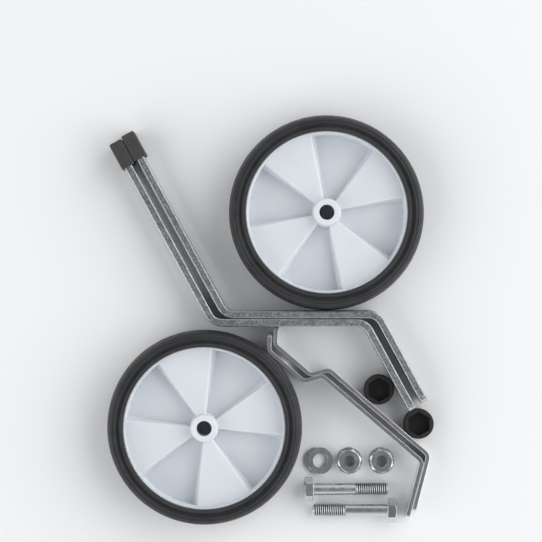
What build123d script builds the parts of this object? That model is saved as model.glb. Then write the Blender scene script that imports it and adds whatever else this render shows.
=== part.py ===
"""A set of bicycle training wheels, laid out flat before it is fitted to a bicycle.

Two wheels with solid tyres, two Z-bent arms with end caps, two joggled braces, two nut
caps and the axle bolts with their nuts and washers. Millimetres, +Z up. The origin is on
the upper wheel's axis, on the surface that the set lies on.
"""

import math
import os

from build123d import *

# Wheel
tyre_diameter = 115.8
tyre_width = 28.0
bore_diameter = 9.0
hub_diameter = 15.8
rim_lip = 0.9
rim_lip_width = 22.0
rim_seat_depth = 1.6
rim_seat_width = 20.0
rim_rib_height = 1.4
rim_rib_width = 5.0
web_height = 12.0
web_thickness = 2.4
web_wall = 2.0
pocket_mouth_angle = 49.0
pocket_floor_angle = 42.0
pocket_hub_depth = 7.0
web_ledge = 0.5
sector_count = 8
hub_chamfer = 0.5
web_chamfer = 0.6
upper_wheel_turn = 32.0
lower_wheel_turn = 15.0

# Tyre
tyre_section = 10.05
tyre_seat_gap = 0.1
bead_width = 1.9
bead_setback = 0.8
side_groove_width = 2.75
side_groove_depth = 1.1
ridge_width = 0.8
ridge_height = 0.5
shoulder_width = 5.0
tread_crown = 1.2

# Arm
bar_thickness = 4.6
bar_depth = 20.0
bar_edge_radius = 1.0
bar_bend_radius = 9.0
bar_corner_radius = 4.0
upper_leg = 120.0
middle_leg = 90.1
lower_leg = 59.0
leg_angle = 61.5
slot_width = 10.5
slot_length = 84.0
slot_end_margin = 19.0
axle_hole_diameter = 8.5
axle_hole_margin = 10.0

# Arm cap
cap_wall = 1.7
cap_edge_wall = 0.9
cap_end_wall = 1.8
cap_length = 16.5
cap_fit = 0.1
cap_edge_radius = 0.7

# Brace
strip_thickness = 2.5
strip_depth = 16.0
strip_bend_radius = 4.0
strip_corner_radius = 3.0
brace_flange = 10.5
brace_short_run = 27.6
brace_joggle = 9.6
brace_long_run = 78.0
brace_tail = 35.0
brace_slope = 40.7
flange_bend = 53.6
joggle_bend = 57.0
tail_bend = 64.0
brace_axle_hole = 10.5
brace_screw_hole = 6.4
screw_hole_margin = 18.0

# Nut cap
nut_cap_diameter = 17.8
nut_cap_height = 12.0
nut_cap_pocket_depth = 7.0
nut_cap_grip = 0.4
nut_cap_top_chamfer = 0.5
nut_cap_base_chamfer = 1.6

# Axle bolt, nut and washer
bolt_diameter = 7.85
bolt_shank_diameter = 7.2
bolt_length = 45.0
bolt_thread_length = 20.0
bolt_tip_chamfer = 1.0
hex_flats = 13.0
bolt_head_height = 5.3
nut_height = 6.5
nut_hole_diameter = 6.8
hex_corner_chamfer = 0.7
washer_diameter = 16.0
washer_hole_diameter = 8.4
washer_thickness = 1.6
spare_washer_slip = 2.0

# Layout
bend_left_of_wheel = 60.1
lower_wheel_left = 72.4
upper_wheel_gap = 0.2
lower_wheel_gap = 2.0
arm_gap = 0.3
arm_cap_gap = 0.3
brace_arm_gap = 0.3
brace_tyre_gap = 0.1
joggle_gap = 0.1
tail_gap = 0.2
nut_cap_arm_gap = 0.5
nut_cap_brace_gap = 0.15
hardware_gap = 1.2
bolt_drop = 37.4
left_nut_turn = 12.0
right_nut_turn = 40.0

# Derived sizes
tyre_radius = tyre_diameter / 2
lip_radius = tyre_radius - tyre_section
rim_radius = lip_radius - rim_lip
seat_radius = lip_radius + rim_seat_depth
rib_radius = seat_radius + rim_rib_height
hub_radius = hub_diameter / 2
wheel_middle = tyre_width / 2
arm_cap_thickness = bar_thickness + 2 * (cap_fit + cap_wall)
arm_cap_depth = bar_depth + 2 * (cap_fit + cap_edge_wall)
bar_middle = arm_cap_depth / 2
strip_middle = strip_depth / 2
nut_cap_radius = nut_cap_diameter / 2
hex_corners = hex_flats / math.cos(math.radians(30))
bolt_contact_length = bolt_length - bolt_tip_chamfer
bolt_tilt = math.degrees(math.atan((hex_flats - bolt_diameter) / 2 / bolt_contact_length))


def heading(angle):
    """Unit vector in plan, at an angle counted from +X."""
    return Vector(math.cos(math.radians(angle)), math.sin(math.radians(angle)))


def meet(side_a, offset_a, side_b, offset_b):
    """Point in plan that lies at the two given offsets along two given directions."""
    cross = side_a.X * side_b.Y - side_a.Y * side_b.X
    x = (offset_a * side_b.Y - offset_b * side_a.Y) / cross
    y = (offset_b * side_a.X - offset_a * side_b.X) / cross
    return Vector(x, y)


# Places of the arms
leg_way = heading(-leg_angle)
leg_side = heading(90 - leg_angle)
middle_side = heading(90)
outer_first_bend = Vector(-bend_left_of_wheel, -(tyre_radius + upper_wheel_gap + bar_thickness / 2))
arm_nesting = meet(
    middle_side, -(bar_thickness + arm_gap), leg_side, -(arm_cap_thickness + arm_cap_gap)
)


def arm_route(first_bend):
    """Centre line of an arm, from its capped end to its wheel end."""
    second_bend = first_bend + Vector(middle_leg, 0)
    return [
        first_bend - leg_way * upper_leg,
        first_bend,
        second_bend,
        second_bend + leg_way * lower_leg,
    ]


outer_arm_route = arm_route(outer_first_bend)
inner_arm_route = arm_route(outer_first_bend + arm_nesting)
arms_bottom = inner_arm_route[1].Y - bar_thickness / 2

# Places of the wheels
upper_wheel_place = Vector(0, 0)
lower_wheel_place = Vector(-lower_wheel_left, arms_bottom - lower_wheel_gap - tyre_radius)

# Places of the braces
run_way = heading(-brace_slope)
run_side = heading(90 - brace_slope)
flange_way = heading(180 - brace_slope - flange_bend)
joggle_way = heading(joggle_bend - brace_slope)
joggle_side = heading(90 + joggle_bend - brace_slope)
tail_way = heading(-brace_slope - tail_bend)
tail_side = heading(90 - brace_slope - tail_bend)
brace_nesting = meet(
    joggle_side, -(strip_thickness + joggle_gap), tail_side, -(strip_thickness + tail_gap)
)
tyre_side_offset = lower_wheel_place.dot(run_side) + tyre_radius + brace_tyre_gap + strip_thickness / 2
flange_bend_height = arms_bottom - brace_arm_gap - brace_flange * flange_way.Y
outer_flange_bend = meet(
    run_side, tyre_side_offset - brace_nesting.dot(run_side), middle_side, flange_bend_height
)


def brace_route(first_bend):
    """Centre line of a brace, from its short flange to its tail."""
    low_bend = first_bend + run_way * brace_short_run
    high_bend = low_bend + joggle_way * (brace_joggle / math.sin(math.radians(joggle_bend)))
    tail_start = high_bend + run_way * brace_long_run
    return [
        first_bend + flange_way * brace_flange,
        first_bend,
        low_bend,
        high_bend,
        tail_start,
        tail_start + tail_way * brace_tail,
    ]


outer_brace_route = brace_route(outer_flange_bend)
inner_brace_route = brace_route(outer_flange_bend + brace_nesting)

# Places of the nut caps, between the inner arm's short leg and the outer brace
brace_face = outer_brace_route[3].dot(run_side) + strip_thickness / 2
arm_face = inner_arm_route[2].dot(leg_side) - bar_thickness / 2
beside_brace = brace_face + nut_cap_brace_gap + nut_cap_radius
beside_arm = arm_face - nut_cap_arm_gap - nut_cap_radius
past_arm_end = inner_arm_route[3].dot(leg_way) + nut_cap_arm_gap + nut_cap_radius
left_nut_cap_place = meet(leg_side, beside_arm, run_side, beside_brace)
right_nut_cap_place = meet(leg_way, past_arm_end, run_side, beside_brace)

# Places of the loose hardware, right of the lower wheel
hardware_left = lower_wheel_place.X + tyre_radius + hardware_gap
upper_bolt_row = lower_wheel_place.Y - bolt_drop
lower_bolt_row = upper_bolt_row - (hex_corners + bolt_diameter) / 2 - hardware_gap
upper_bolt_head = Vector(hardware_left + bolt_head_height, upper_bolt_row)
lower_bolt_head = Vector(hardware_left + bolt_head_height + bolt_length, lower_bolt_row)
washer_row = upper_bolt_row + (hex_corners + washer_diameter) / 2 + hardware_gap
washer_pitch = washer_diameter + spare_washer_slip + hardware_gap
spare_washer_place = Vector(hardware_left + washer_diameter / 2, washer_row)
left_nut_place = spare_washer_place + Vector(washer_pitch, 0)
right_nut_place = left_nut_place + Vector(washer_pitch, 0)


def revolve_plane(place, height=0):
    """Upright plane through a vertical axis: sketch X is the radius, sketch Y the height."""
    return Plane(origin=place + Vector(0, 0, height), x_dir=(1, 0, 0), z_dir=(0, -1, 0))


def upright_axis(place):
    """Vertical axis through a place in plan."""
    return Axis(place, (0, 0, 1))


def ring_sector(plane, angle, inset, inner_radius, outer_radius):
    """Ring sector of a nominal angle whose straight sides are moved in, parallel, by an inset."""
    inner_half = angle / 2 - math.degrees(math.asin(inset / inner_radius))
    outer_half = angle / 2 - math.degrees(math.asin(inset / outer_radius))
    with BuildSketch(plane) as sector:
        with BuildLine():
            inner = CenterArc((0, 0), inner_radius, -inner_half, 2 * inner_half)
            outer = CenterArc((0, 0), outer_radius, -outer_half, 2 * outer_half)
            Line(inner @ 0, outer @ 0)
            Line(inner @ 1, outer @ 1)
        make_face()
    return sector.sketch


def web_pocket(plane, inset):
    """Pocket between two folds of the web: sides lean in, and its floor falls from hub to rim."""
    rim_depth = web_height - web_thickness
    inner_radius = hub_radius + web_ledge
    outer_radius = rim_radius - web_ledge
    floor_plane = plane.offset(-rim_depth)
    mouth = ring_sector(plane, pocket_mouth_angle, inset, inner_radius, outer_radius)
    floor = ring_sector(
        floor_plane, pocket_floor_angle, inset, inner_radius + web_ledge, outer_radius - web_ledge
    )
    with BuildPart() as pocket:
        loft([mouth, floor], ruled=True)
        with BuildSketch(Plane(origin=plane.origin, x_dir=plane.x_dir, z_dir=-plane.y_dir)):
            Polygon(
                (0, 0),
                (outer_radius, 0),
                (outer_radius, -rim_depth),
                (inner_radius, -pocket_hub_depth),
                (0, -pocket_hub_depth),
                align=None,
            )
        revolve(axis=Axis(plane.origin, plane.z_dir), mode=Mode.INTERSECT)
    return pocket.part


def make_wheel(place, turn, label):
    """Moulded wheel: hub, rim and a web folded into sectors that lie forward and back by turns."""
    with BuildPart() as wheel:
        with BuildSketch(revolve_plane(place, wheel_middle)):
            with Locations((hub_radius / 2, 0)):
                Rectangle(hub_radius, tyre_width)
            with Locations((rim_radius / 2, 0)):
                Rectangle(rim_radius, web_height)
            with Locations(((rim_radius + lip_radius) / 2, 0)):
                Rectangle(rim_lip, rim_lip_width)
            with Locations(((lip_radius + seat_radius) / 2, 0)):
                Rectangle(rim_seat_depth, rim_seat_width)
            with Locations(((seat_radius + rib_radius) / 2, 0)):
                Rectangle(rim_rib_height, rim_rib_width)
        revolve(axis=upright_axis(place))
        for sector in range(sector_count):
            facing = 1 if sector % 2 else -1
            inset = 0 if sector % 2 else web_wall
            pocket_plane = Plane(
                origin=place + Vector(0, 0, wheel_middle + facing * web_height / 2),
                x_dir=heading(turn + sector * 360 / sector_count),
                z_dir=(0, 0, facing),
            )
            add(web_pocket(pocket_plane, inset), mode=Mode.SUBTRACT)
        lines = wheel.edges().filter_by(GeomType.LINE)
        lines_by_height = lines.filter_by(lambda line: line.length > rim_radius / 2).group_by(Axis.Z)
        chamfer(lines_by_height[0] + lines_by_height[-1], web_chamfer)
        circles_by_height = wheel.edges().filter_by(GeomType.CIRCLE).group_by(Axis.Z)
        chamfer(circles_by_height[0] + circles_by_height[-1], hub_chamfer)
        with BuildSketch(Plane(origin=place)):
            Circle(bore_diameter / 2)
        extrude(amount=tyre_width, mode=Mode.SUBTRACT)
    wheel.part.label = label
    export_step(wheel.part, f"parts/{label}.step")


def make_tyre(place, label):
    """Solid tyre: bead, side groove, ridge, round shoulder and crowned tread."""
    half_width = tyre_width / 2
    bead_radius = lip_radius + tyre_seat_gap
    groove_radius = bead_radius + bead_width
    ridge_radius = groove_radius + side_groove_width
    shoulder_radius = ridge_radius + ridge_width + ridge_height
    bead_face = half_width - bead_setback
    groove_floor = bead_face - side_groove_depth
    seat_half = rim_seat_width / 2
    rib_half = rim_rib_width / 2
    tread_edge = half_width - shoulder_width
    with BuildPart() as tyre:
        with BuildSketch(revolve_plane(place, wheel_middle)):
            with BuildLine():
                outline = Polyline(
                    (rib_radius + tyre_seat_gap, 0),
                    (rib_radius + tyre_seat_gap, rib_half),
                    (seat_radius + tyre_seat_gap, rib_half),
                    (seat_radius + tyre_seat_gap, seat_half),
                    (bead_radius, seat_half),
                    (bead_radius, bead_face),
                    (groove_radius, bead_face),
                    ((groove_radius + ridge_radius) / 2, groove_floor),
                    (ridge_radius, half_width),
                    (ridge_radius + ridge_width, half_width),
                    (shoulder_radius, half_width - ridge_height),
                )
                crown = ThreePointArc(
                    (tyre_radius, 0),
                    (tyre_radius - tread_crown / 4, tread_edge / 2),
                    (tyre_radius - tread_crown, tread_edge),
                )
                RadiusArc(crown @ 1, outline @ 1, -shoulder_width)
                Line(outline @ 0, crown @ 0)
            make_face()
            mirror(about=Plane.XZ)
        revolve(axis=upright_axis(place))
    tyre.part.label = label
    export_step(tyre.part, f"parts/{label}.step")


def bent_bar(route, middle_height, bend_radius, section):
    """Bar standing on its narrow edge along a bent route in plan; a section's X points up."""
    with BuildPart() as bar:
        with BuildLine() as centre_line:
            FilletPolyline(*[point + Vector(0, 0, middle_height) for point in route], radius=bend_radius)
        start = Plane(origin=centre_line.line @ 0, x_dir=(0, 0, 1), z_dir=centre_line.line % 0)
        with BuildSketch(start):
            add(section)
        sweep()
    return bar.part


def wide_face(point, way, middle_height):
    """Plane along a bar's middle: sketch X runs along the bar, sketch Y up."""
    return Plane(origin=point + Vector(0, 0, middle_height), x_dir=way, z_dir=way.cross(Vector(0, 0, 1)))


def end_corners(plane, depth, thickness, corner_radius):
    """What comes off a square bar end at a plane's origin to round its two corners."""
    with BuildPart() as trimmings:
        with BuildSketch(plane):
            Rectangle(2 * corner_radius, 2 * depth)
            with Locations((-2 * corner_radius, 0)):
                RectangleRounded(4 * corner_radius, depth, corner_radius, mode=Mode.SUBTRACT)
        extrude(amount=thickness, both=True)
    return trimmings.part


def make_arm(route, label):
    """Z-bent arm with a long slot for the bicycle's axle and a hole for the wheel's bolt."""
    top_end = route[0]
    wheel_end = route[-1]
    slot_centre = top_end + leg_way * (slot_end_margin + slot_length / 2)
    hole_centre = wheel_end - leg_way * axle_hole_margin
    with BuildSketch() as section:
        RectangleRounded(bar_depth, bar_thickness, bar_edge_radius)
    with BuildPart() as arm:
        add(bent_bar(route, bar_middle, bar_bend_radius, section.sketch))
        with BuildSketch(wide_face(slot_centre, leg_way, bar_middle)):
            SlotOverall(slot_length, slot_width)
        with BuildSketch(wide_face(hole_centre, leg_way, bar_middle)):
            Circle(axle_hole_diameter / 2)
        extrude(amount=bar_thickness, both=True, mode=Mode.SUBTRACT)
        for end, way in ((top_end, -leg_way), (wheel_end, leg_way)):
            end_plane = wide_face(end, way, bar_middle)
            add(end_corners(end_plane, bar_depth, bar_thickness, bar_corner_radius), mode=Mode.SUBTRACT)
    arm.part.label = label
    export_step(arm.part, f"parts/{label}.step")


def make_arm_cap(route, label):
    """Soft closed sleeve over an arm's upper end."""
    mouth_centre = route[0] + leg_way * (cap_length - cap_end_wall)
    mouth_plane = Plane(
        origin=mouth_centre + Vector(0, 0, bar_middle), x_dir=leg_side, z_dir=-leg_way
    )
    with BuildPart() as cap:
        with BuildSketch(mouth_plane):
            RectangleRounded(arm_cap_thickness, arm_cap_depth, cap_edge_radius)
        extrude(amount=cap_length)
        closed_end = cap.faces().sort_by(Axis(mouth_centre, -leg_way))[-1]
        chamfer(closed_end.edges(), cap_edge_radius)
        with BuildSketch(mouth_plane):
            Rectangle(bar_thickness + 2 * cap_fit, bar_depth + 2 * cap_fit)
        extrude(amount=cap_length - cap_end_wall, mode=Mode.SUBTRACT)
    cap.part.label = label
    export_step(cap.part, f"parts/{label}.step")


def make_brace(route, label):
    """Joggled strip with an axle hole in its short run and a screw hole near its tail."""
    axle_hole = (route[1] + route[2]) / 2
    screw_hole = route[4] - run_way * screw_hole_margin
    with BuildSketch() as section:
        Rectangle(strip_depth, strip_thickness)
    with BuildPart() as brace:
        add(bent_bar(route, strip_middle, strip_bend_radius, section.sketch))
        with BuildSketch(wide_face(axle_hole, run_way, strip_middle)):
            Circle(brace_axle_hole / 2)
        with BuildSketch(wide_face(screw_hole, run_way, strip_middle)):
            Circle(brace_screw_hole / 2)
        extrude(amount=strip_thickness, both=True, mode=Mode.SUBTRACT)
        for end, way in ((route[0], flange_way), (route[-1], tail_way)):
            end_plane = wide_face(end, way, strip_middle)
            add(
                end_corners(end_plane, strip_depth, strip_thickness, strip_corner_radius),
                mode=Mode.SUBTRACT,
            )
    brace.part.label = label
    export_step(brace.part, f"parts/{label}.step")


def make_nut_cap(place, label):
    """Round cover lying on its closed end, with a hexagonal pocket open upwards."""
    with BuildPart() as cover:
        with BuildSketch(Plane(origin=place)):
            Circle(nut_cap_radius)
        extrude(amount=nut_cap_height)
        chamfer(cover.edges().group_by(Axis.Z)[0], nut_cap_base_chamfer)
        chamfer(cover.edges().group_by(Axis.Z)[-1], nut_cap_top_chamfer)
        with BuildSketch(Plane(origin=place + Vector(0, 0, nut_cap_height))):
            RegularPolygon((hex_flats - nut_cap_grip) / 2, 6, major_radius=False, rotation=30)
        extrude(amount=-nut_cap_pocket_depth, mode=Mode.SUBTRACT)
    cover.part.label = label
    export_step(cover.part, f"parts/{label}.step")


def hex_blank(plane, height, chamfer_start, chamfer_end):
    """Hexagonal prism along a plane's normal, its corners turned off at the chosen ends."""
    corner_radius = hex_corners / 2
    turned = hex_corner_chamfer if chamfer_start else 0
    turned_end = hex_corner_chamfer if chamfer_end else 0
    slope = math.tan(math.radians(30))
    with BuildPart() as blank:
        with BuildSketch(plane):
            RegularPolygon(hex_flats / 2, 6, major_radius=False)
        extrude(amount=height)
        with BuildSketch(Plane(origin=plane.origin, x_dir=plane.x_dir, z_dir=-plane.y_dir)):
            Polygon(
                (0, 0),
                (corner_radius - turned / slope, 0),
                (corner_radius, turned),
                (corner_radius, height - turned_end),
                (corner_radius - turned_end / slope, height),
                (0, height),
                align=None,
            )
        revolve(axis=Axis(plane.origin, plane.z_dir), mode=Mode.INTERSECT)
    return blank.part


def make_bolt(under_head, angle, label):
    """Hexagon-head bolt lying on its head's edge and its tip."""
    way = heading(angle)
    level = hex_flats / 2 * math.cos(math.radians(bolt_tilt))
    shank_way = way * math.cos(math.radians(bolt_tilt)) - Vector(0, 0, math.sin(math.radians(bolt_tilt)))
    shank_plane = Plane(
        origin=under_head + Vector(0, 0, level), x_dir=heading(angle + 90), z_dir=shank_way
    )
    head_plane = Plane(origin=shank_plane.origin, x_dir=shank_plane.x_dir, z_dir=-shank_way)
    with BuildPart() as bolt:
        add(hex_blank(head_plane, bolt_head_height, False, True))
        with BuildSketch(shank_plane):
            Circle(bolt_shank_diameter / 2)
        extrude(amount=bolt_length - bolt_thread_length)
        with BuildSketch(shank_plane.offset(bolt_length - bolt_thread_length)):
            Circle(bolt_diameter / 2)
        extrude(amount=bolt_thread_length)
        tip = bolt.faces().sort_by(Axis(shank_plane.origin, shank_way))[-1]
        chamfer(tip.edges(), bolt_tip_chamfer)
    bolt.part.label = label
    export_step(bolt.part, f"parts/{label}.step")


def make_nut(place, base, turn, label):
    """Hexagon nut lying flat."""
    nut_plane = Plane(origin=place + Vector(0, 0, base), x_dir=heading(turn), z_dir=(0, 0, 1))
    with BuildPart() as nut:
        add(hex_blank(nut_plane, nut_height, True, True))
        with BuildSketch(nut_plane):
            Circle(nut_hole_diameter / 2)
        extrude(amount=nut_height, mode=Mode.SUBTRACT)
    nut.part.label = label
    export_step(nut.part, f"parts/{label}.step")


def make_washer(place, base, label):
    """Flat washer lying flat."""
    with BuildPart() as washer:
        with BuildSketch(Plane(origin=place + Vector(0, 0, base))):
            Circle(washer_diameter / 2)
            Circle(washer_hole_diameter / 2, mode=Mode.SUBTRACT)
        extrude(amount=washer_thickness)
    washer.part.label = label
    export_step(washer.part, f"parts/{label}.step")


os.makedirs("parts", exist_ok=True)
make_wheel(upper_wheel_place, upper_wheel_turn, "upper_wheel")
make_wheel(lower_wheel_place, lower_wheel_turn, "lower_wheel")
make_tyre(upper_wheel_place, "upper_tyre")
make_tyre(lower_wheel_place, "lower_tyre")
make_arm(outer_arm_route, "outer_arm")
make_arm(inner_arm_route, "inner_arm")
make_arm_cap(outer_arm_route, "outer_arm_cap")
make_arm_cap(inner_arm_route, "inner_arm_cap")
make_brace(outer_brace_route, "outer_brace")
make_brace(inner_brace_route, "inner_brace")
make_nut_cap(left_nut_cap_place, "left_nut_cap")
make_nut_cap(right_nut_cap_place, "right_nut_cap")
make_bolt(upper_bolt_head, 0, "upper_axle_bolt")
make_bolt(lower_bolt_head, 180, "lower_axle_bolt")
make_washer(left_nut_place, 0, "left_nut_washer")
make_washer(right_nut_place, 0, "right_nut_washer")
make_nut(left_nut_place, washer_thickness, left_nut_turn, "left_nut")
make_nut(right_nut_place, washer_thickness, right_nut_turn, "right_nut")
make_washer(spare_washer_place, 0, "bottom_spare_washer")
make_washer(spare_washer_place + Vector(spare_washer_slip, 0), washer_thickness, "top_spare_washer")
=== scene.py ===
"""The looks of a set of bicycle training wheels, laid out flat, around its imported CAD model."""

import math

import bmesh
import bpy
from mathutils import Matrix, Vector


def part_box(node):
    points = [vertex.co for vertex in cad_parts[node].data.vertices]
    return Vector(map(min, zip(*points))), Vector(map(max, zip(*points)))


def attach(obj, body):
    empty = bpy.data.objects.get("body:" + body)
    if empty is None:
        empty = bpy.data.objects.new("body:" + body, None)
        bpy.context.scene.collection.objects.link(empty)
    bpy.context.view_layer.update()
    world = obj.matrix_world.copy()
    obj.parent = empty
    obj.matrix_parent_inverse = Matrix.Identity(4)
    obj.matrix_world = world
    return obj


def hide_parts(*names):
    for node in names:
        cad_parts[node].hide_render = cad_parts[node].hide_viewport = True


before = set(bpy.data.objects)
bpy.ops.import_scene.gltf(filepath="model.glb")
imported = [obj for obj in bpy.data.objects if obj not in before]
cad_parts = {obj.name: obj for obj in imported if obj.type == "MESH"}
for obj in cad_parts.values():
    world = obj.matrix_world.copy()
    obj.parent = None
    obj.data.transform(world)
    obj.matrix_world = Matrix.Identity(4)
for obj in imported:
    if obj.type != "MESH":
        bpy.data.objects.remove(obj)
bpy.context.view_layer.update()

MM = 0.001

# Camera, straight above the set
VIEW_CENTRE = Vector((-0.03295, -0.03466, 0))
VIEW_HEIGHT = 1.5
VIEW_WIDTH = 0.3252

# Floor
FLOOR_SIZE = 12
FLOOR_COLOUR = (0.86, 0.87, 0.88)
FLOOR_ROUGHNESS = 0.9

# Sky: the heights between which it dims, its colours there, and its strength on either side
SKY_DIM_START = 0.35
SKY_DIM_END = 0.9
SKY_COLOUR = (1.0, 1.0, 1.0)
SKY_TOP_COLOUR = (0.22, 0.224, 0.23)
SKY_LEFT_STRENGTH = 0.6
SKY_RIGHT_STRENGTH = 1.05

# Hardware, as in the part's source
BOLT_LENGTH = 0.045
THREAD_LENGTH = 0.020
THREAD_RADIUS = 0.003925
SHANK_RADIUS = 0.0036
TIP_CHAMFER = 0.001
HEX_FLATS = 0.013
NUT_HOLE_RADIUS = 0.0034
NUT_HEIGHT = 0.0065

# Threads: their size, the rings in a turn, the parts of a pitch that root and flanks take,
# the turns in which a thread reaches its full depth, and what a bolt's tip loses in radius
THREAD_PITCH = 0.00125
THREAD_DEPTH = 0.0007
RINGS_IN_TURN = 10
ROOT_PART = 0.12
FLANKS_PART = 0.72
BOLT_RUN_IN = 1.5
NUT_RUN_IN = 0.6
TIP_LOSS = 0.9 * TIP_CHAMFER

# Tyres: steps round the axle
TYRE_STEPS = 160

# Rounded edges: their widths, and the faces across them
WHEEL_ROUNDING = 0.0009
BRACE_ROUNDING = 0.0006
CAP_ROUNDING = 0.0004
ARM_ROUNDING = 0.0003
WASHER_ROUNDING = 0.00025
BOLT_HEAD_ROUNDING = 0.00022
NUT_ROUNDING = 0.0002
COARSE_STEPS = 2
FINE_STEPS = 4

# Angles between faces: still flat, sharp enough to round, and sharp enough to shade apart
FLAT_ANGLE = math.radians(0.3)
SHARP_ANGLE = math.radians(25)
HEX_SHARP_ANGLE = math.radians(20)
SHADE_ANGLE = math.radians(40)

# Distances: points that are one, points at one height, and what still belongs to a bolt's head
WELD_DISTANCE = 1e-7
NEAR = 1e-5
HEAD_MARGIN = 1e-4

# Values that mark rounded edges, where some materials paint a highlight, and the roots of threads,
# where painted shade goes, and how far up rounded edges face
HIGHLIGHT_EDGE_MARK = "edge"
SHADED_ROOT_MARK = "root"
ROUND_EDGE_LOW = 0.15
ROUND_EDGE_HIGH = 0.84

# Part of a noise value's range that steers colours and numbers
NOISE_LOW = 0.3
NOISE_HIGH = 0.7


class Look:
    """Material with one shader, and the values and nodes that feed it."""

    def __init__(self, name, metallic=0.0, specular=0.5):
        self.material = bpy.data.materials.new(name)
        self.material.use_nodes = True
        self.nodes = self.material.node_tree.nodes
        self.links = self.material.node_tree.links
        self.shader = self.nodes["Principled BSDF"]
        self.set("Metallic", metallic)
        self.set("Specular IOR Level", specular)

    def set(self, socket, value):
        """Gives one of the shader's sockets a plain value."""
        self.shader.inputs[socket].default_value = value

    def feed(self, socket, source):
        """Feeds one of the shader's sockets from a node."""
        self.links.new(source, self.shader.inputs[socket])

    def noise(self, scale, detail=3, roughness=0.5):
        """Noise value in the set's own frame."""
        coordinates = self.nodes.new("ShaderNodeTexCoord")
        texture = self.nodes.new("ShaderNodeTexNoise")
        texture.inputs["Scale"].default_value = scale
        texture.inputs["Detail"].default_value = detail
        texture.inputs["Roughness"].default_value = roughness
        self.links.new(coordinates.outputs["Object"], texture.inputs["Vector"])
        return texture.outputs["Fac"]

    def colours(self, value, low, high):
        """Colour between two ends, steered by a noise value."""
        node = self.nodes.new("ShaderNodeValToRGB")
        first, last = node.color_ramp.elements
        first.position = NOISE_LOW
        last.position = NOISE_HIGH
        first.color = (*low, 1)
        last.color = (*high, 1)
        self.links.new(value, node.inputs["Fac"])
        return node.outputs["Color"]

    def numbers(self, value, low, high):
        """Number between two ends, steered by a noise value."""
        node = self.nodes.new("ShaderNodeMapRange")
        node.inputs["From Min"].default_value = NOISE_LOW
        node.inputs["From Max"].default_value = NOISE_HIGH
        node.inputs["To Min"].default_value = low
        node.inputs["To Max"].default_value = high
        self.links.new(value, node.inputs["Value"])
        return node.outputs["Result"]

    def plain_or_marked(self, mark_name, plain, marked):
        """One colour or number on a piece's plain parts and another on its marked ones."""
        mark = self.nodes.new("ShaderNodeAttribute")
        mark.attribute_name = mark_name
        choice = self.nodes.new("ShaderNodeMixRGB")
        self.links.new(mark.outputs["Fac"], choice.inputs["Fac"])
        self.links.new(plain, choice.inputs["Color1"])
        self.links.new(marked, choice.inputs["Color2"])
        return choice.outputs["Color"]

    def bumps(self, value, distance):
        """Relief from a noise value, up to a distance in metres."""
        relief = self.nodes.new("ShaderNodeBump")
        relief.inputs["Distance"].default_value = distance
        self.links.new(value, relief.inputs["Height"])
        self.feed("Normal", relief.outputs["Normal"])


def white_plastic():
    """Satin moulded plastic that lets a little light in."""
    look = Look("white_plastic")
    look.set("Subsurface Weight", 0.45)
    look.set("Subsurface Radius", (1.0, 1.0, 1.0))
    look.set("Subsurface Scale", 0.0035)
    clouds = look.noise(60, 4)
    # The blue cast of these colours is painted reflected light; the plastic itself is neutral
    # white
    look.feed("Base Color", look.colours(clouds, (0.69, 0.725, 0.765), (0.73, 0.76, 0.795)))
    look.feed("Roughness", look.numbers(look.noise(400), 0.36, 0.5))
    look.bumps(look.noise(2500, 2), 0.00002)
    return look.material


def black_rubber():
    """Matt moulded rubber."""
    look = Look("black_rubber", specular=0.35)
    clouds = look.noise(90, 5)
    look.feed("Base Color", look.colours(clouds, (0.024, 0.025, 0.027), (0.036, 0.037, 0.04)))
    look.feed("Roughness", look.numbers(look.noise(250, 4), 0.48, 0.66))
    look.bumps(look.noise(1800), 0.00004)
    return look.material


def zinc_steel():
    """Grainy zinc plate, paler on its rounded edges as a painted highlight."""
    look = Look("zinc_steel", metallic=1.0)
    grain = look.noise(1500, roughness=0.6)
    face = look.colours(grain, (0.085, 0.091, 0.1), (0.55, 0.56, 0.575))
    # Paler colour on rounded edges: a painted highlight
    edge = look.colours(grain, (0.52, 0.53, 0.545), (0.72, 0.73, 0.745))
    look.feed("Base Color", look.plain_or_marked(HIGHLIGHT_EDGE_MARK, face, edge))
    look.feed("Roughness", look.numbers(look.noise(500), 0.36, 0.5))
    look.bumps(grain, 0.00007)
    return look.material


def bright_steel():
    """Bright zinc plate, paler on its rounded edges as a painted highlight, and duller there as if
    rubbed.
    """
    look = Look("bright_steel", metallic=1.0)
    grain = look.noise(1100, roughness=0.6)
    face = look.colours(grain, (0.69, 0.7, 0.72), (0.79, 0.8, 0.82))
    # Paler colour on rounded edges: a painted highlight
    edge = look.colours(grain, (0.86, 0.87, 0.88), (0.92, 0.93, 0.94))
    look.feed("Base Color", look.plain_or_marked(HIGHLIGHT_EDGE_MARK, face, edge))
    buffed = look.noise(300)
    polish = look.numbers(buffed, 0.16, 0.26)
    worn = look.numbers(buffed, 0.4, 0.5)
    look.feed("Roughness", look.plain_or_marked(HIGHLIGHT_EDGE_MARK, polish, worn))
    look.bumps(grain, 0.00001)
    return look.material


def bolt_steel():
    """Zinc plate of bolts, nuts and washers, with painted shade in the roots of threads."""
    look = Look("bolt_steel", metallic=1.0)
    grain = look.noise(1500, roughness=0.6)
    face = look.colours(grain, (0.64, 0.65, 0.67), (0.76, 0.77, 0.79))
    # Dark colour in the roots of threads: painted shade
    root = look.colours(grain, (0.09, 0.092, 0.096), (0.14, 0.142, 0.147))
    look.feed("Base Color", look.plain_or_marked(SHADED_ROOT_MARK, face, root))
    look.feed("Roughness", look.numbers(look.noise(250), 0.18, 0.3))
    look.bumps(grain, 0.000006)
    return look.material


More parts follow.
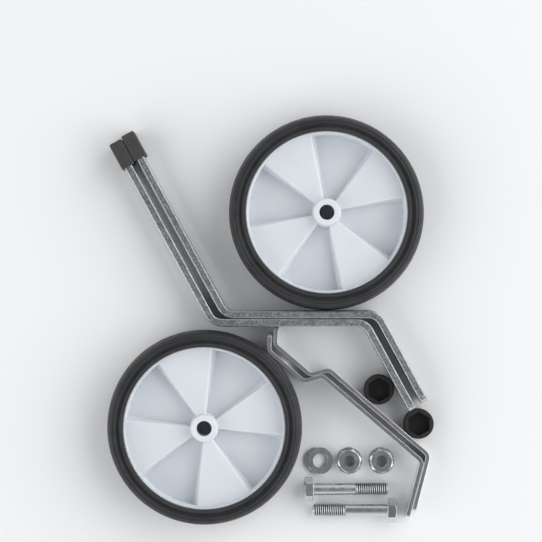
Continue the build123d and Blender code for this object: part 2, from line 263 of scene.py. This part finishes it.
def black_plastic(name, level, specular):
    """Soft matt plastic of a given grey and shine."""
    look = Look(name, specular=specular)
    dark = (level * 0.85, level * 0.84, level * 0.82)
    light = (level * 1.2, level * 1.18, level * 1.15)
    look.feed("Base Color", look.colours(look.noise(150, 4), dark, light))
    look.feed("Roughness", look.numbers(look.noise(700), 0.42, 0.6))
    look.bumps(look.noise(2200), 0.00005)
    return look.material


def pale_floor():
    """Plain dull surface."""
    look = Look("floor", specular=0.1)
    look.set("Base Color", (*FLOOR_COLOUR, 1))
    look.set("Roughness", FLOOR_ROUGHNESS)
    return look.material


def clamp(value):
    """Value held between 0 and 1."""
    return min(1.0, max(0.0, value))


def middle(node):
    """Middle of a CAD node's box."""
    low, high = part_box(node)
    return Vector(((low.x + high.x) / 2, (low.y + high.y) / 2, (low.z + high.z) / 2))


def flat_mesh(node):
    """Working copy of a CAD node's mesh, with its flat faces whole."""
    work = bmesh.new()
    work.from_mesh(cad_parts[node].data)
    bmesh.ops.remove_doubles(work, verts=work.verts, dist=WELD_DISTANCE)
    bmesh.ops.dissolve_limit(work, angle_limit=FLAT_ANGLE, verts=work.verts, edges=work.edges)
    return work


def finish_piece(work, node, look):
    """Turns a working mesh into the piece that stands for a CAD node."""
    mesh = bpy.data.meshes.new(node + "_look")
    bmesh.ops.recalc_face_normals(work, faces=work.faces)
    work.to_mesh(mesh)
    work.free()
    for polygon in mesh.polygons:
        polygon.use_smooth = True
    mesh.set_sharp_from_angle(angle=SHADE_ANGLE)
    mesh.materials.append(look)
    piece = bpy.data.objects.new(node + "_look", mesh)
    bpy.context.scene.collection.objects.link(piece)
    weights = piece.modifiers.new("even_normals", "WEIGHTED_NORMAL")
    weights.keep_sharp = True
    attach(piece, "root")
    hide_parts(node)


def sharp_edges(work, angle):
    """Edges of a working mesh that are sharper than an angle."""
    return [edge for edge in work.edges if edge.is_manifold and edge.calc_face_angle() > angle]


def round_edges(work, edges, width, steps=COARSE_STEPS, keep_apart=False):
    """Rounds edges of a working mesh and gives the new faces."""
    rounded = bmesh.ops.bevel(
        work,
        geom=edges,
        offset=width,
        offset_type="OFFSET",
        segments=steps,
        profile=0.5,
        affect="EDGES",
        clamp_overlap=keep_apart,
    )
    return rounded["faces"]


def softened(node, look, width, steps=COARSE_STEPS):
    """Piece like its CAD node, with its sharp edges rounded and its rounded edges marked for a
    painted highlight.
    """
    work = flat_mesh(node)
    mark = work.faces.layers.float.new(HIGHLIGHT_EDGE_MARK)
    for face in round_edges(work, sharp_edges(work, SHARP_ANGLE), width, steps, keep_apart=True):
        face[mark] = 1.0
    for face in work.faces:
        if ROUND_EDGE_LOW < abs(face.normal.z) < ROUND_EDGE_HIGH:
            face[mark] = 1.0
    finish_piece(work, node, look)


def arc(centre, radius, start, end, steps):
    """Points along an arc in a section, between two angles in degrees."""
    points = []
    for step in range(steps + 1):
        angle = math.radians(start + (end - start) * step / steps)
        points.append((centre[0] + radius * math.cos(angle), centre[1] + radius * math.sin(angle)))
    return points


def tyre_half_section():
    """Upper half of a tyre's section, from seat to tread, as millimetres from axle and middle."""
    seat = [(50.95, 0), (50.95, 2.5), (49.55, 2.5), (49.55, 10), (47.95, 10)]
    bead = arc((48.55, 12.6), 0.6, 180, 90, 5) + arc((49.5, 12.2), 1.0, 90, 45, 5)
    groove = arc((51.6, 12.65), 0.75, 225, 335, 9)
    ridge = arc((52.9, 13.52), 0.48, 200, -20, 12)
    valley = [
        (53.5, 13.08),
        (53.62, 12.97),
        (53.76, 12.92),
        (53.92, 12.94),
        (54.1, 13.0),
        (54.3, 13.06),
        (54.5, 13.06),
    ]
    shoulder = arc((51.7, 9), 5, 53, 0, 14)
    tread_heights = (8, 7, 6, 5, 4, 3, 2, 1.2, 0.7, 0.42)
    tread = [(57.72 - 0.0126 * height**2, height) for height in tread_heights]
    seam = [(57.78, 0.3), (57.86, 0.18), (57.9, 0.08)]
    return seat + bead + groove + ridge + valley + shoulder + tread + seam


def turned_tyre(node, look):
    """Tyre turned from its section, with a round bead, ridge and mould seam."""
    centre = middle(node)
    half = tyre_half_section()
    section = half + [(radius, -height) for radius, height in reversed(half) if height > 0]
    work = bmesh.new()
    rings = []
    for step in range(TYRE_STEPS):
        angle = 2 * math.pi * step / TYRE_STEPS
        outwards = Vector((math.cos(angle), math.sin(angle), 0)) * MM
        ring = []
        for radius, height in section:
            ring.append(work.verts.new(centre + outwards * radius + Vector((0, 0, height * MM))))
        rings.append(ring)
    for here, there in zip(rings, rings[1:] + rings[:1]):
        for point in range(len(section)):
            after = (point + 1) % len(section)
            work.faces.new((here[point], here[after], there[after], there[point]))
    finish_piece(work, node, look)


def tooth(turns):
    """Height of a thread's flank, 0 at its root and 1 at its crest, after a number of turns."""
    from_root = abs(turns % 1.0 - 0.5) * 2
    return clamp((from_root - ROOT_PART) / FLANKS_PART)


def open_ring(work, place, height):
    """Corners round an opening at a height along a placed Z axis, with their angles, in order."""
    inverse = place.inverted()
    ring = []
    for vert in work.verts:
        point = inverse @ vert.co
        if vert.is_boundary and abs(point.z - height) < NEAR:
            ring.append((math.atan2(point.y, point.x), vert))
    return sorted(ring, key=lambda corner: corner[0])


def thread_wall(work, place, start, length, radius_at, steps_left=0):
    """Adds a wall along a placed Z axis, from an opening on; it can stop some steps early."""
    opening = open_ring(work, place, start)
    steps = round(length / THREAD_PITCH * RINGS_IN_TURN)
    rings = [[vert for angle, vert in opening]]
    for step in range(1, steps + 1 - steps_left):
        height = start + length * step / steps
        ring = []
        for angle, vert in opening:
            radius = radius_at(height, angle / (2 * math.pi))
            point = Vector((radius * math.cos(angle), radius * math.sin(angle), height))
            ring.append(work.verts.new(place @ point))
        rings.append(ring)
    for low, high in zip(rings, rings[1:]):
        for side in range(len(opening)):
            after = (side + 1) % len(opening)
            work.faces.new((low[side], low[after], high[after], high[side]))
    return rings


def bolt_place(node, towards):
    """Matrix that puts Z along a lying bolt, with 0 at its head's bearing face."""
    low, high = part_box(node)
    tilt = math.atan((HEX_FLATS - 2 * THREAD_RADIUS) / 2 / (BOLT_LENGTH - TIP_CHAMFER))
    way = Vector((towards * math.cos(tilt), 0, -math.sin(tilt)))
    tip_reach = BOLT_LENGTH * math.cos(tilt) + (THREAD_RADIUS - TIP_CHAMFER) * math.sin(tilt)
    x = high.x - tip_reach if towards > 0 else low.x + tip_reach
    origin = Vector((x, (low.y + high.y) / 2, HEX_FLATS / 2 * math.cos(tilt)))
    return Matrix.Translation(origin) @ way.to_track_quat("Z", "Y").to_matrix().to_4x4()


def threaded_bolt(node, towards, look):
    """Lying bolt whose plain end is replaced by a thread; towards is +1 or -1 along X."""
    place = bolt_place(node, towards)
    inverse = place.inverted()
    thread_start = BOLT_LENGTH - THREAD_LENGTH

    def heights(element):
        return [(inverse @ vert.co).z for vert in element.verts]

    def radius_at(height, turn):
        run_in = clamp((height - thread_start) / (BOLT_RUN_IN * THREAD_PITCH))
        crest = SHANK_RADIUS + (THREAD_RADIUS - SHANK_RADIUS) * run_in
        cut = THREAD_DEPTH * run_in * (1 - tooth(height / THREAD_PITCH - turn))
        tip = THREAD_RADIUS - TIP_LOSS + (BOLT_LENGTH - height)
        return min(crest - cut, tip)

    work = flat_mesh(node)
    plain_end = [face for face in work.faces if min(heights(face)) > thread_start - NEAR]
    bmesh.ops.delete(work, geom=plain_end, context="FACES")
    sharp = sharp_edges(work, HEX_SHARP_ANGLE)
    head_edges = [edge for edge in sharp if max(heights(edge)) < HEAD_MARGIN]
    round_edges(work, head_edges, BOLT_HEAD_ROUNDING)
    # Mark for painted shade: how deep each point lies in a thread's root
    root = work.verts.layers.float.new(SHADED_ROOT_MARK)
    rings = thread_wall(work, place, thread_start, THREAD_LENGTH, radius_at)
    work.faces.new(rings[-1])
    for ring in rings[1:]:
        for vert in ring:
            point = inverse @ vert.co
            if point.z < BOLT_LENGTH - TIP_CHAMFER:
                vert[root] = clamp((THREAD_RADIUS - point.to_2d().length) / THREAD_DEPTH)
    finish_piece(work, node, look)


def threaded_nut(node, look):
    """Nut whose plain hole is replaced by a threaded one."""
    centre = middle(node)
    centre.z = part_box(node)[0].z

    def radius_at(height, turn):
        run_in = clamp(min(height, NUT_HEIGHT - height) / (NUT_RUN_IN * THREAD_PITCH))
        return NUT_HOLE_RADIUS + THREAD_DEPTH * run_in * tooth(height / THREAD_PITCH - turn)

    work = flat_mesh(node)
    hole = []
    for face in work.faces:
        reach = max((vert.co - centre).to_2d().length for vert in face.verts)
        if reach < NUT_HOLE_RADIUS + NEAR:
            hole.append(face)
    bmesh.ops.delete(work, geom=hole, context="FACES")
    round_edges(work, sharp_edges(work, HEX_SHARP_ANGLE), NUT_ROUNDING)
    thread_wall(work, Matrix.Translation(centre), 0, NUT_HEIGHT, radius_at, steps_left=1)
    bmesh.ops.bridge_loops(work, edges=[edge for edge in work.edges if edge.is_boundary])
    finish_piece(work, node, look)


def lay_floor():
    """Floor under the set."""
    bpy.ops.mesh.primitive_plane_add(size=FLOOR_SIZE, location=VIEW_CENTRE)
    floor = bpy.context.object
    floor.name = "floor"
    floor.data.materials.append(pale_floor())


def light_sky():
    """World that is bright around, and dimmer overhead and on the left."""
    world = bpy.data.worlds.new("studio")
    world.use_nodes = True
    bpy.context.scene.world = world
    nodes = world.node_tree.nodes
    links = world.node_tree.links
    direction = nodes.new("ShaderNodeTexCoord")
    axes = nodes.new("ShaderNodeSeparateXYZ")
    fade = nodes.new("ShaderNodeValToRGB")
    first, last = fade.color_ramp.elements
    first.position = SKY_DIM_START
    first.color = (*SKY_COLOUR, 1)
    last.position = SKY_DIM_END
    last.color = (*SKY_TOP_COLOUR, 1)
    side = nodes.new("ShaderNodeMapRange")
    side.inputs["From Min"].default_value = -1.0
    side.inputs["To Min"].default_value = SKY_LEFT_STRENGTH
    side.inputs["To Max"].default_value = SKY_RIGHT_STRENGTH
    background = nodes["Background"]
    links.new(direction.outputs["Generated"], axes.inputs["Vector"])
    links.new(axes.outputs["Z"], fade.inputs["Fac"])
    links.new(fade.outputs["Color"], background.inputs["Color"])
    links.new(axes.outputs["X"], side.inputs["Value"])
    links.new(side.outputs["Result"], background.inputs["Strength"])


def hang_lamp(name, place, width, height, watts):
    """Soft wide lamp that faces the middle of the view."""
    light = bpy.data.lights.new(name, "AREA")
    light.shape = "RECTANGLE"
    light.size = width
    light.size_y = height
    light.energy = watts
    lamp = bpy.data.objects.new(name, light)
    lamp.location = place
    lamp.rotation_euler = (VIEW_CENTRE - Vector(place)).to_track_quat("-Z", "Y").to_euler()
    bpy.context.scene.collection.objects.link(lamp)


def set_camera():
    """Camera that looks straight down on the set."""
    camera = bpy.data.objects.new("camera", bpy.data.cameras.new("camera"))
    camera.location = VIEW_CENTRE + Vector((0, 0, VIEW_HEIGHT))
    camera.data.sensor_fit = "HORIZONTAL"
    camera.data.angle = 2 * math.atan(VIEW_WIDTH / 2 / VIEW_HEIGHT)
    bpy.context.scene.collection.objects.link(camera)
    bpy.context.scene.camera = camera
    bpy.context.scene.view_settings.view_transform = "Standard"


# Materials
white = white_plastic()
rubber = black_rubber()
zinc = zinc_steel()
bright = bright_steel()
steel = bolt_steel()
cap_black = black_plastic("cap_plastic", level=0.038, specular=0.5)
nut_cap_black = black_plastic("nut_cap_plastic", level=0.026, specular=0.2)

# Pieces
for node in ("upper_wheel", "lower_wheel"):
    softened(node, white, WHEEL_ROUNDING, FINE_STEPS)
for node in ("upper_tyre", "lower_tyre"):
    turned_tyre(node, rubber)
for node in ("outer_arm", "inner_arm"):
    softened(node, zinc, ARM_ROUNDING)
for node in ("outer_brace", "inner_brace"):
    softened(node, bright, BRACE_ROUNDING, FINE_STEPS)
for node in ("outer_arm_cap", "inner_arm_cap"):
    softened(node, cap_black, CAP_ROUNDING)
for node in ("left_nut_cap", "right_nut_cap"):
    softened(node, nut_cap_black, CAP_ROUNDING)
for node in ("left_nut_washer", "right_nut_washer", "bottom_spare_washer", "top_spare_washer"):
    softened(node, steel, WASHER_ROUNDING)
threaded_bolt("upper_axle_bolt", 1, steel)
threaded_bolt("lower_axle_bolt", -1, steel)
for node in ("left_nut", "right_nut"):
    threaded_nut(node, steel)

# Stage
lay_floor()
light_sky()
hang_lamp("key", place=(1.15, 0.22, 1.05), width=2.4, height=1.6, watts=21.5)
hang_lamp("fill", place=(-1.1, -0.45, 0.95), width=2.0, height=1.4, watts=12)
set_camera()
